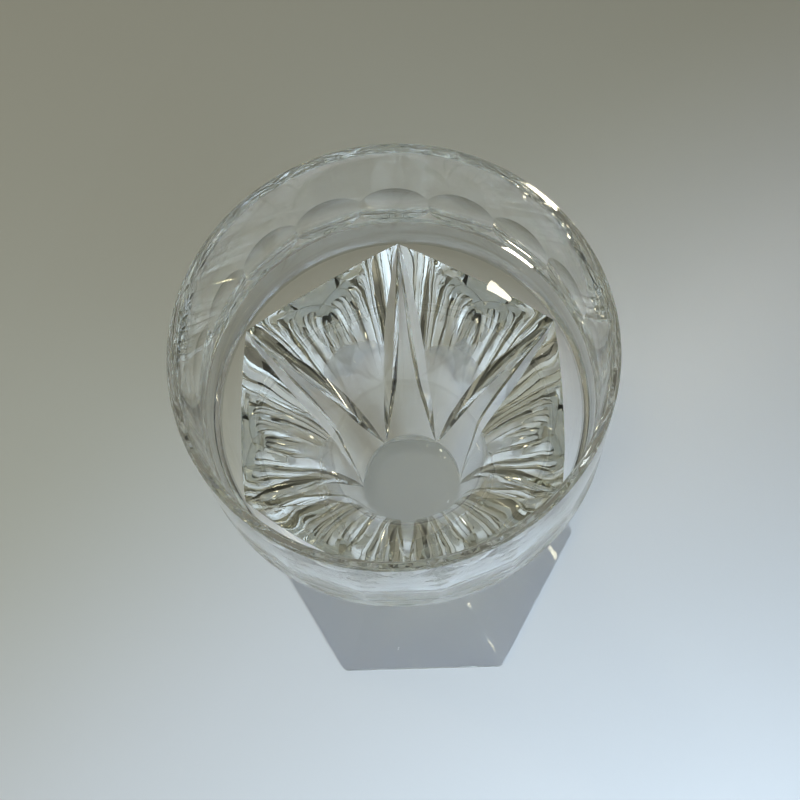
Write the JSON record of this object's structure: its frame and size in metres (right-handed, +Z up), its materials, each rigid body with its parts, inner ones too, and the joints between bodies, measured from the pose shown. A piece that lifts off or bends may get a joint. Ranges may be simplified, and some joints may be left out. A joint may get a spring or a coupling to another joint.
{
  "type": "cut crystal vase",
  "caption": "Footed cut crystal vase: round straight-banded bowl with hollow ovals and a star body, on a solid six-sided flared foot.",
  "frame": {"origin": "centre of the flat underside that the vase stands on", "axes": "+Z up the vase's axis, towards the rim; -Y faces one flat side of the six-sided foot"},
  "size_m": [0.14, 0.14, 0.252],
  "materials": {
    "cut_crystal": "polished clear lead crystal with a faint straw tint, cut and acid polished",
    "foot_crystal": "polished clear lead crystal, flat ground and polished panels",
    "clear_adhesive": "cured optically clear adhesive"
  },
  "bodies": {
    "root": {"bowl": "cut_crystal", "foot": "foot_crystal", "waist_bond": "clear_adhesive"}
  },
  "joints": []
}
